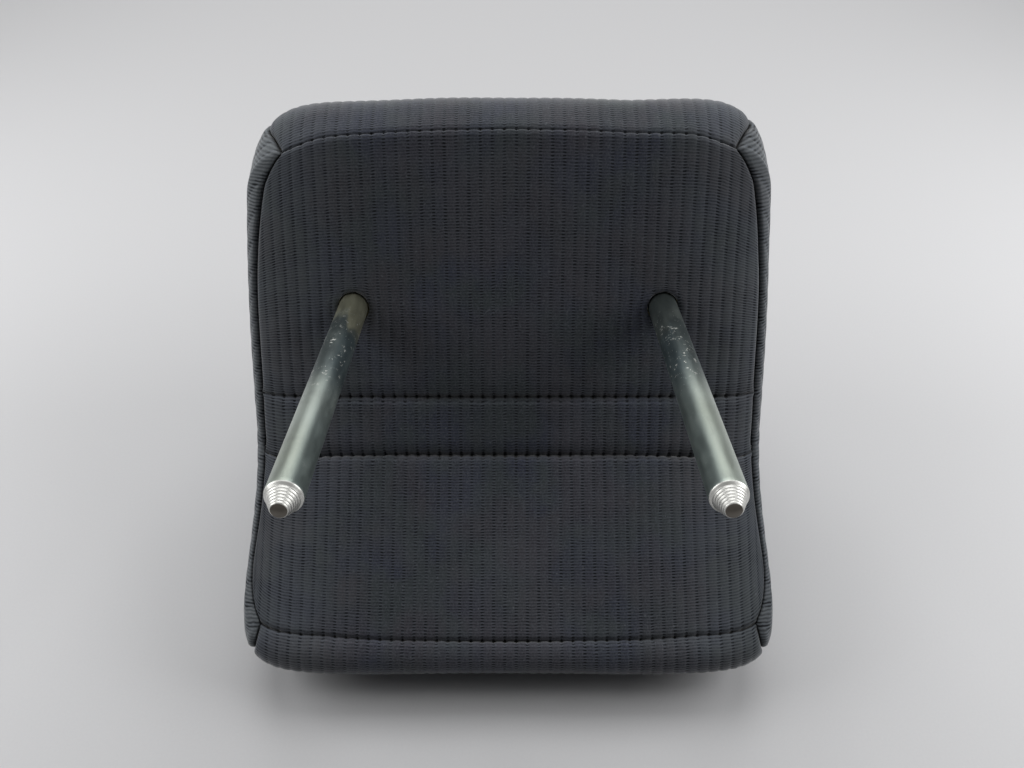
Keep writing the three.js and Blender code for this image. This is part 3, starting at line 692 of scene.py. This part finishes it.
def knit_material(name, paleness):
    n = Nodes(name)
    across, along, _ = n.axes(n.uv("knit"))
    place = n.place()
    wander = n.times(n.math("SUBTRACT", n.noise(place, scale=240.0), 0.5), COURSE_WANDER)
    rib = n.math("SUBTRACT", n.math("DIVIDE", across, RIB_PITCH * MM), RIB_SHIFT)
    groove_off = n.math("PINGPONG", n.math("ADD", rib, n.times(wander, RIB_WANDER)), 0.5)
    groove = n.ramp(groove_off, 0.19, 0.08)
    course = n.math("ADD", n.math("DIVIDE", along, COURSE_PITCH * MM), wander)
    wave = n.math("MULTIPLY_ADD", n.math("SINE", n.times(course, 2 * math.pi)), 0.5, 0.5)
    patchy = n.ramp(n.noise(place, scale=90.0, detail=3.0), 0.35, 0.65, 0.6, 1.0)
    dash = n.times(groove, wave, patchy)
    glint = n.times(groove, n.math("SUBTRACT", 1.0, wave))
    tint = n.noise(place, scale=45.0, detail=3.0)
    warmth = n.noise(place, scale=30.0)
    wear = n.noise(place, scale=24.0, detail=3.0)
    fuzz = n.noise(place, scale=1300.0, roughness=0.7)
    fleck = n.ramp(n.noise(place, scale=700.0, detail=0.0), 0.78, 0.86)
    cool = n.mix(n.ramp(tint, 0.38, 0.62), KNIT_GREY, KNIT_BLUE)
    ground = n.mix(n.ramp(warmth, 0.4, 0.62, 0.0, 0.8), cool, KNIT_WARM)
    worn = n.mix(n.ramp(wear, 0.35, 0.7, 0.0, 0.35), ground, KNIT_WORN)
    # Painted sheen and side light: paler towards the sides of the pad and on the gussets
    off_middle = n.math("ABSOLUTE", n.axes(place)[0])
    outlying = n.ramp(off_middle, PAINTED_SHEEN_FROM, PAINTED_SHEEN_TO, 0.0, PAINTED_SHEEN_MOST)
    wear_and_painted_sheen = n.mix(n.math("MAXIMUM", outlying, paleness), worn, KNIT_PAINTED_SHEEN)
    lined = n.mix(n.times(wave, patchy, 0.75), wear_and_painted_sheen, KNIT_SHADE)
    fuzzy = n.mix(n.ramp(fuzz, 0.42, 0.72, 0.0, 0.5), lined, KNIT_FUZZ)
    # Painted shade: dark dashes in the grooves between the ribs
    dashed = n.mix(dash, fuzzy, KNIT_GROOVE_SHADE)
    glinting = n.mix(n.times(glint, 0.3), dashed, KNIT_GLINT)
    flecked = n.mix(n.times(fleck, 0.25), glinting, KNIT_FLECK)
    # Painted shade: the cloth is darkened deep in the seams, where they lie in shade
    deep = n.ramp(n.axes(n.uv("valley"))[0], SEAM_SHADE_FROM, SEAM_SHADE_TO, 0.0, 0.96)
    n.set(Base_Color=n.mix(deep, flecked, KNIT_SEAM_SHADE), Roughness=0.95, Specular_IOR_Level=0.12)
    n.set(Sheen_Weight=0.6, Sheen_Roughness=0.4, Sheen_Tint=KNIT_SHEEN)
    hollows = n.math("ADD", n.times(wave, 0.35), n.times(dash, 0.3))
    height = n.math("SUBTRACT", n.times(fuzz, 0.4), hollows)
    n.set(Normal=n.bump(height, distance=0.16 * MM, strength=0.6))
    return n.material


# Colours of the stay, and where its zones lie, as heights along its legs
STEEL_PALE = rgb(166, 175, 168)
STEEL_GREEN = rgb(152, 160, 150)
STEEL_STAIN = rgb(128, 134, 129)
STEEL_SCUFFED = rgb(78, 88, 91)
STEEL_PAINTED_REFLECTION = rgb(86, 102, 108)
STEEL_RIGHT_FOOT = rgb(96, 104, 102)
STEEL_LEFT_FOOT = rgb(152, 152, 132)
STEEL_STREAK = rgb(120, 124, 120)
STEEL_CHIP = rgb(226, 228, 222)
STEEL_TURNED = rgb(198, 198, 194)
STEEL_DISC = rgb(112, 107, 100)
FOOT_ZONE = (-20 * MM, -11 * MM)
SCUFFED_BELOW = (-9 * MM, -20 * MM)
SCUFFED_ABOVE = (-84 * MM, -56 * MM)
ZONE_RAGGEDNESS = 26 * MM
FOOT_WEDGE = 15 * MM
CONE_SIDE = ((STAY_CONE_LENGTH + 0.6 - STAY_EXPOSED) * MM, (STAY_CONE_LENGTH - STAY_EXPOSED) * MM)
CONE_DISC = ((0.25 - STAY_EXPOSED) * MM, (0.1 - STAY_EXPOSED) * MM)


def steel_material():
    """Worn plating: a dull foot next to the pad, then a dark scratched zone, then bright plating
    towards a bare turned end. The sides of the legs that face each other are painted darker, as a
    painted reflection of the dark pad."""
    n = Nodes("plated_steel")
    place = n.place()
    x, _, z = n.axes(place)
    stretch = n.add("ShaderNodeMapping")
    n.put(stretch.inputs["Vector"], place)
    stretch.inputs["Scale"].default_value = (1, 1, 0.3)
    streak = n.noise(stretch.outputs[0], scale=260.0, detail=4.0, roughness=0.6)
    stain = n.noise(place, scale=45.0, detail=4.0, roughness=0.6)
    cloud = n.noise(place, scale=16.0)
    chip = n.ramp(n.noise(place, scale=420.0, detail=4.0, roughness=0.75), 0.6, 0.64)
    ragged = n.math("MULTIPLY_ADD", n.math("SUBTRACT", stain, 0.5), ZONE_RAGGEDNESS, z)
    inward = n.math("SUBTRACT", LEG_X * MM, n.math("ABSOLUTE", x))
    wedge = n.ramp(inward, 0.5 * MM, 3.5 * MM, 0.0, FOOT_WEDGE)
    dull = n.ramp(n.math("ADD", ragged, wedge), *FOOT_ZONE)
    scuffed = n.times(n.ramp(ragged, *SCUFFED_ABOVE), n.ramp(ragged, *SCUFFED_BELOW))
    bright = n.mix(n.ramp(cloud, 0.4, 0.62), STEEL_PALE, STEEL_GREEN)
    plated = n.mix(n.ramp(stain, 0.5, 0.7, 0.0, 0.5), bright, STEEL_STAIN)
    darkened = n.mix(n.times(scuffed, 0.85), plated, STEEL_SCUFFED)
    # Painted reflection: the sides of the legs that face each other are darkened as if mirroring the
    # dark pad
    inner = n.ramp(inward, 0.5 * MM, 4 * MM, 0.0, 0.55)
    shaded = n.mix(n.times(inner, n.ramp(cloud, 0.25, 0.5, 0.6, 1.0)), darkened, STEEL_PAINTED_REFLECTION)
    foot = n.mix(n.ramp(x, -1 * MM, 1 * MM), STEEL_RIGHT_FOOT, STEEL_LEFT_FOOT)
    base = n.mix(dull, shaded, foot)
    streaked = n.mix(n.ramp(streak, 0.5, 0.75, 0.0, 0.3), base, STEEL_STREAK)
    chips = n.times(chip, n.math("ADD", scuffed, 0.05), 0.9)
    marked = n.mix(chips, streaked, STEEL_CHIP)
    bare = n.mix(n.ramp(z, *CONE_SIDE), marked, STEEL_TURNED)
    ended = n.mix(n.ramp(z, *CONE_DISC), bare, STEEL_DISC)
    n.set(Base_Color=ended, Metallic=0.9, Roughness=n.ramp(streak, 0.3, 0.75, 0.34, 0.48))
    n.set(Normal=n.bump(n.math("ADD", streak, chips), distance=0.03 * MM, strength=0.5))
    return n.material


PAINT_BLACK = rgb(32, 33, 36)
PAINT_RUBBED = rgb(70, 70, 72)


def painted_material():
    n = Nodes("black_steel")
    place = n.place()
    orange_peel = n.noise(place, scale=900.0)
    wear_and_painted_sheen = n.ramp(n.noise(place, scale=60.0, detail=4.0), 0.6, 0.75)
    n.set(Base_Color=n.mix(n.times(wear_and_painted_sheen, 0.4), PAINT_BLACK, PAINT_RUBBED))
    n.set(Roughness=n.ramp(orange_peel, 0.3, 0.7, 0.4, 0.55), Metallic=0.2)
    n.set(Normal=n.bump(orange_peel, distance=0.05 * MM, strength=0.5))
    return n.material


FOAM_FRESH = rgb(222, 211, 165)
FOAM_AGED = rgb(205, 190, 138)
FOAM_PORE = rgb(150, 138, 98)


def foam_material():
    n = Nodes("pad_foam")
    place = n.place()
    cells = n.add("ShaderNodeTexVoronoi")
    n.put(cells.inputs["Vector"], place)
    cells.inputs["Scale"].default_value = 900.0
    pore = n.ramp(cells.outputs["Distance"], 0.15, 0.6)
    aged = n.noise(place, scale=30.0, detail=3.0)
    tone = n.mix(n.ramp(aged, 0.35, 0.65), FOAM_FRESH, FOAM_AGED)
    n.set(Base_Color=n.mix(pore, FOAM_PORE, tone), Roughness=0.95, Specular_IOR_Level=0.2)
    n.set(Normal=n.bump(pore, distance=0.4 * MM, strength=0.7))
    return n.material


WIRE_DARK = rgb(150, 150, 152)
WIRE_LIGHT = rgb(184, 185, 188)


def wire_material():
    n = Nodes("wire_steel")
    drawn = n.noise(n.place(), scale=500.0, detail=3.0)
    n.set(Base_Color=n.mix(drawn, WIRE_DARK, WIRE_LIGHT), Metallic=1.0)
    n.set(Roughness=n.ramp(drawn, 0.3, 0.7, 0.3, 0.5))
    return n.material


materials = {
    "knit": knit_material("ribbed_knit", 0.0),
    "left_knit": knit_material("ribbed_knit_left_side_painted_sheen", LEFT_PAINTED_SHEEN),
    "right_knit": knit_material("ribbed_knit_right_side_painted_sheen", RIGHT_PAINTED_SHEEN),
    "steel": steel_material(),
    "painted": painted_material(),
    "foam": foam_material(),
    "wire": wire_material(),
}

# Camera


def make_camera():
    lens = bpy.data.cameras.new("camera")
    lens.lens = CAMERA_LENS
    lens.sensor_width = CAMERA_SENSOR
    lens.clip_start = CAMERA_CLIP_START
    camera = bpy.data.objects.new("camera", lens)
    camera.location = CAMERA_AT
    camera.rotation_euler = (math.radians(180 - CAMERA_TILT), 0, math.radians(180))
    bpy.context.scene.collection.objects.link(camera)
    bpy.context.scene.camera = camera


make_camera()

# Cover

SPINE_MIDDLE = (0, *SPINE)
NODE_OF_PANEL = {
    "rear": "underside_rear_panel",
    "strip": "tuck_strip",
    "front": "underside_front_panel",
    "wrap": "wrap_panel",
}


def turn_in_holes(piece, cores):
    """Cuts the cover round each leg and turns its edge into the pad as a short round sleeve."""
    mesh = bmesh.new()
    mesh.from_mesh(piece.data)
    mesh.verts.ensure_lookup_table()
    inside = {mesh.verts[i] for i in cores}
    doomed = [face for face in mesh.faces if any(vert in inside for vert in face.verts)]
    rim = {edge for face in doomed for edge in face.edges
           if any(other not in doomed for other in edge.link_faces)}
    bmesh.ops.delete(mesh, geom=doomed, context="FACES")
    rim = [edge for edge in rim if edge.is_valid]
    for ring, (radius, depth) in enumerate(HOLE_SLEEVE):
        verts = {vert for edge in rim for vert in edge.verts}
        for vert in verts:
            hand = 1 if vert.co.x > 0 else -1
            centre = Vector((hand * LEG_X * MM, 0, vert.co.z))
            offset = vert.co - centre
            vert.co = centre + offset.normalized() * radius * MM
            vert.co.z += depth * MM
        if ring < len(HOLE_SLEEVE) - 1:
            grown = bmesh.ops.extrude_edge_only(mesh, edges=rim)["geom"]
            rim = [part for part in grown if isinstance(part, bmesh.types.BMEdge)
                   and len(part.link_faces) == 1]
    bmesh.ops.recalc_face_normals(mesh, faces=mesh.faces)
    mesh.to_mesh(piece.data)
    mesh.free()


def cover_piece(name, grid, knit, node, cloth, cores=()):
    rows, columns = grid.shape[:2]
    piece = mesh_object(name, grid.reshape(-1, 3), grid_faces(rows, columns), knit.reshape(-1, 3))
    if len(cores):
        turn_in_holes(piece, cores)
    clean_mesh(piece, SPINE_MIDDLE)
    thicken(piece, COVER_THICKNESS)
    piece.data.materials.append(materials[cloth])
    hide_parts(node)
    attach(piece, "root")
    return piece


covers = {}
for panel, node in NODE_OF_PANEL.items():
    grid, knit = panel_grid(panel)
    cores = []
    if panel == "rear":
        cores = np.flatnonzero(leg_pull(grid)).tolist()
    sit_askew(grid)
    covers[panel] = cover_piece(f"knit_{node}", grid, knit, node, "knit", cores)


def smooth_loop(loop, reach):
    """A closed line with its corners rounded away over a reach."""
    step = np.linalg.norm(loop - np.roll(loop, 1, axis=0), axis=1).mean()
    offsets = np.arange(-int(2 * reach / step), int(2 * reach / step) + 1)
    weight = np.exp(-(offsets * step / reach) ** 2)
    return sum(w * np.roll(loop, shift, axis=0) for w, shift in zip(weight / weight.sum(), offsets))


def gusset_rim():
    """The side view round a gusset, evenly spaced, with the side seam's station at each place."""
    sides = []
    stations = []
    for name, (line, *_) in PANELS.items():
        side = resample(line(1), np.linspace(0, 1, GUSSET_RIM_SAMPLES))
        at = lengths_along(side)
        sides.append(side[:-1])
        stations.append(seam_station(name, at, at[-1])[:-1])
    side = np.concatenate(sides)
    station = np.concatenate(stations)
    at = lengths_along(np.concatenate([side, side[:1]]))
    wanted = np.linspace(0, at[-1], GUSSET_COLUMNS, endpoint=False)
    closed = np.concatenate([side, side[:1]])
    rim = np.stack([np.interp(wanted, at, axis) for axis in closed.T], -1)
    return rim, np.interp(wanted, at, np.append(station, station[0]))


def above_underside(place):
    """How far a place in the side view is above the underside, and how far along it."""
    under = np.concatenate([rear_line(1), [front_tuck, front_line(1)[-1]]])
    chord = (under[-1] - under[0]) / np.linalg.norm(under[-1] - under[0])
    rise = np.array([chord[1], -chord[0]])
    base = np.stack([(under - under[0]) @ chord, (under - under[0]) @ rise], -1)
    along = (place - under[0]) @ chord
    base = resample(base, np.linspace(0, 1, UNDERSIDE_SAMPLES))
    window = np.ones(2 * UNDERSIDE_SMOOTHING + 1)
    padded = np.pad(base[:, 1], UNDERSIDE_SMOOTHING, mode="edge")
    base[:, 1] = np.convolve(padded, window / len(window), mode="valid")
    return (place - under[0]) @ rise - np.interp(along, *base.T), along


def gusset_grid():
    """Points and knit coordinates of one gusset: rings from its seam to the middle of the side."""
    rim, seam = gusset_rim()
    calm = smooth_loop(rim, GUSSET_SMOOTHING)
    inward = np.linspace(0, 1, GUSSET_DEPTH_SAMPLES)
    station = (seam[:, None] + HALF_GAP) + (2 - seam[:, None] - HALF_GAP) * inward
    blend = np.clip((station - GUSSET_CALM_FROM) / GUSSET_CALM_OVER, 0, 1)[..., None]
    blend = blend * blend * (3 - 2 * blend)
    sides = rim[:, None] * (1 - blend) + calm[:, None] * blend
    skin = pad_point(sides, station)
    columns = []
    for line in skin:
        at = lengths_along(line)
        rest = np.linspace(SEAM_EDGE.round, at[-1], GUSSET_RINGS)[1:]
        distance = np.concatenate([SEAM_EDGE.distance, rest])
        columns.append([np.interp(distance, at, axis) for axis in line.T] + [distance])
    stacked = np.moveaxis(np.array(columns), 1, -1)
    grid = np.concatenate([stacked, stacked[:1]])
    points, gap = grid[..., :3], grid[..., 3]
    normal = normals_of(np.concatenate([points[-2:-1], points, points[1:2]]))[1:-1]
    normal *= np.sign(normal[..., :1] + TINY)
    above, forward = above_underside(points[..., 1:])
    slant = math.radians(GUSSET_SLANT)
    across = above * math.cos(slant) - forward * math.sin(slant)
    along = forward * math.cos(slant) + above * math.sin(slant)
    lift = rib_height(across) * np.clip((gap - EDGE_FLAT) / GUSSET_RIB_FADE, 0, 1)
    lift += unevenness(points) * np.clip(gap / UNEVEN_FADE, 0, 1)
    drop = np.concatenate([SEAM_EDGE.drop, np.zeros(GUSSET_RINGS - 1)])
    points = points + normal * (lift - drop)[..., None]
    points[:, -1] = points[:, -1].mean(0)
    return points, np.stack([across, along, np.broadcast_to(drop, across.shape)], -1)


gusset_points, gusset_knit = gusset_grid()
for hand, side in ((1, "left"), (-1, "right")):
    node = f"{side}_gusset"
    mirrored = gusset_points * np.array([hand, 1, 1])
    sit_askew(mirrored)
    covers[node] = cover_piece(f"knit_{node}", mirrored, gusset_knit, node, f"{side}_knit")

# Stay


def stay_half():
    """Points (x, z), directions and radii of the bar from the end of the left leg to the middle."""
    end = -STAY_EXPOSED
    depths = [0.0, 0.0, STAY_EDGE]
    radii = [0.0, STAY_END_RADIUS - STAY_EDGE, STAY_END_RADIUS]
    cone_radius = STAY_RADIUS - STAY_SHOULDER
    half_groove = CONE_GROOVE_WIDTH / 2
    for step in range(1, CONE_STEPS):
        share = step / CONE_STEPS
        radius = STAY_END_RADIUS + (cone_radius - STAY_END_RADIUS) * share
        depth = STAY_CONE_LENGTH * share
        depths += [depth - half_groove, depth, depth + half_groove]
        radii += [radius, radius - CONE_GROOVE_DEPTH, radius]
    depths += [STAY_CONE_LENGTH + past for past, _ in STAY_CHAMFER]
    radii += [STAY_RADIUS - below for _, below in STAY_CHAMFER]
    bend_z = STAY_TOP - STAY_BEND_RADIUS
    straight = np.linspace(STAY_CONE_LENGTH + LEG_RINGS_FROM, bend_z - end, LEG_STEPS)[:-1]
    depths = np.concatenate([depths, straight])
    radii = np.concatenate([radii, straight * 0 + STAY_RADIUS])
    leg = np.stack([depths * 0 + LEG_X, end + depths], -1)
    upward = np.stack([depths * 0, depths * 0 + 1], -1)
    turn = np.linspace(0, math.pi / 2, BEND_STEPS)
    outward = np.stack([np.cos(turn), np.sin(turn)], -1)
    bend = np.array([LEG_X - STAY_BEND_RADIUS, bend_z]) + STAY_BEND_RADIUS * outward
    round_ = np.stack([-np.sin(turn), np.cos(turn)], -1)
    return (np.concatenate([leg, bend]), np.concatenate([upward, round_]),
            np.concatenate([radii, turn * 0 + STAY_RADIUS]))


def make_stay():
    half, direction, radius = stay_half()
    line = np.concatenate([half, (half * [-1, 1])[::-1]])
    along = np.concatenate([direction, (direction * [1, -1])[::-1]])
    radii = np.concatenate([radius, radius[::-1]])[:, None]
    turn = np.linspace(0, 2 * math.pi, STAY_SIDES, endpoint=False)
    rings = np.zeros((len(line), STAY_SIDES, 3))
    rings[..., 0] = line[:, :1] + radii * np.cos(turn) * along[:, 1:]
    rings[..., 1] = radii * np.sin(turn)
    rings[..., 2] = line[:, 1:] - radii * np.cos(turn) * along[:, :1]
    corner = np.arange((len(line) - 1) * STAY_SIDES).reshape(-1, STAY_SIDES)
    after = np.roll(corner, -1, axis=1)
    faces = np.stack([corner, after, after + STAY_SIDES, corner + STAY_SIDES], -1).reshape(-1, 4)
    piece = mesh_object("bare_stay", rings.reshape(-1, 3), faces)
    clean = bmesh.new()
    clean.from_mesh(piece.data)
    bmesh.ops.remove_doubles(clean, verts=clean.verts, dist=SAME_RING * MM)
    bmesh.ops.recalc_face_normals(clean, faces=clean.faces)
    for face in clean.faces:
        face.smooth = True
    clean.to_mesh(piece.data)
    clean.free()
    piece.data.materials.append(materials["steel"])
    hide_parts("stay_rod")
    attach(piece, "root")


make_stay()

# Inner pieces keep their solids and get their finishes by slot

FINISH_OF_SLOT = {
    "black_steel": "painted",
    "pad_foam": "foam",
    "wire_steel": "wire",
}
for subpart in frame["record"]["subparts"]:
    finish = FINISH_OF_SLOT.get(subpart["material_slot"])
    if finish:
        mesh = frame["nodes"][subpart["node"]].data
        mesh.materials.clear()
        mesh.materials.append(materials[finish])

# Table, lights and world

FLOOR_SIZE = 6.0


def lowest_on_table():
    """How far the object reaches down towards the table, along the table's normal."""
    graph = bpy.context.evaluated_depsgraph_get()
    low = math.inf
    for piece in covers.values():
        mesh = piece.evaluated_get(graph).to_mesh()
        place = np.zeros(len(mesh.vertices) * 3)
        mesh.vertices.foreach_get("co", place)
        low = min(low, (place.reshape(-1, 3) @ np.array(TABLE_UP)).min())
    return low


TABLE_PALE = rgb(207, 207, 209)
TABLE_PALER = rgb(212, 212, 213)


def floor_material():
    """A white table that lets light through from below and throws no shadow itself."""
    n = Nodes("table")
    fibre = n.noise(n.place(), scale=900.0)
    n.set(Base_Color=n.mix(fibre, TABLE_PALE, TABLE_PALER), Roughness=0.8)
    clear = n.add("ShaderNodeBsdfTransparent")
    mix = n.add("ShaderNodeMixShader")
    facing = n.add("ShaderNodeNewGeometry").outputs["Backfacing"]
    shadow = n.add("ShaderNodeLightPath").outputs["Is Shadow Ray"]
    n.put(mix.inputs[0], n.math("MAXIMUM", facing, shadow))
    n.put(mix.inputs[1], n.shader.outputs[0])
    n.put(mix.inputs[2], clear.outputs[0])
    n.put(n.surface, mix.outputs[0])
    return n.material


def make_floor():
    mesh = bpy.data.meshes.new("table")
    half = FLOOR_SIZE / 2
    corners = [(-half, -half, 0), (half, -half, 0), (half, half, 0), (-half, half, 0)]
    mesh.from_pydata(corners, [], [(0, 1, 2, 3)])
    floor = bpy.data.objects.new("table", mesh)
    bpy.context.scene.collection.objects.link(floor)
    floor.rotation_mode = "QUATERNION"
    floor.rotation_quaternion = TABLE_UP.to_track_quat("Z", "Y")
    floor.location = TABLE_UP * lowest_on_table()
    mesh.materials.append(floor_material())


def area_light(name, direction, distance, size, power):
    light = bpy.data.lights.new(name, "AREA")
    light.size = size
    light.energy = power
    lamp = bpy.data.objects.new(name, light)
    bpy.context.scene.collection.objects.link(lamp)
    direction = direction.normalized()
    lamp.location = direction * distance
    lamp.rotation_mode = "QUATERNION"
    lamp.rotation_quaternion = direction.to_track_quat("Z", "Y")


# Lamps: direction as (towards the occupant's left, up from the table, away from the camera),
# distance, size and power
LIGHTS = {
    "far": ((0, 1, 0.9), 1.6, 1.5, 18.8),
    "left": ((1, 0.5, 0.08), 0.7, 0.5, 2.8),
    "right": ((-1, 0.5, 0.05), 0.7, 0.5, 3.3),
}

# Brightness of the white room: what it adds everywhere, and how much more of it the camera
# and mirroring surfaces see
ROOM_LIGHT = 0.025
ROOM_SEEN = 0.3


def make_world():
    world = bpy.data.worlds.new("studio")
    world.use_nodes = True
    tree = world.node_tree
    background = tree.nodes["Background"]
    background.inputs["Color"].default_value = (1, 1, 1, 1)
    path = tree.nodes.new("ShaderNodeLightPath")
    seen = tree.nodes.new("ShaderNodeMath")
    seen.operation = "MAXIMUM"
    room = tree.nodes.new("ShaderNodeMath")
    room.operation = "MULTIPLY_ADD"
    room.inputs[1].default_value = ROOM_SEEN
    room.inputs[2].default_value = ROOM_LIGHT
    tree.links.new(path.outputs["Is Camera Ray"], seen.inputs[0])
    tree.links.new(path.outputs["Is Glossy Ray"], seen.inputs[1])
    tree.links.new(seen.outputs[0], room.inputs[0])
    tree.links.new(room.outputs[0], background.inputs["Strength"])
    bpy.context.scene.world = world


make_floor()
for name, ((leftward, upward, away), distance, size, power) in LIGHTS.items():
    way = Vector((leftward, 0, 0)) + upward * TABLE_UP + away * TABLE_FAR
    area_light(name, way, distance, size, power)
make_world()

bpy.context.scene.view_settings.view_transform = "Standard"
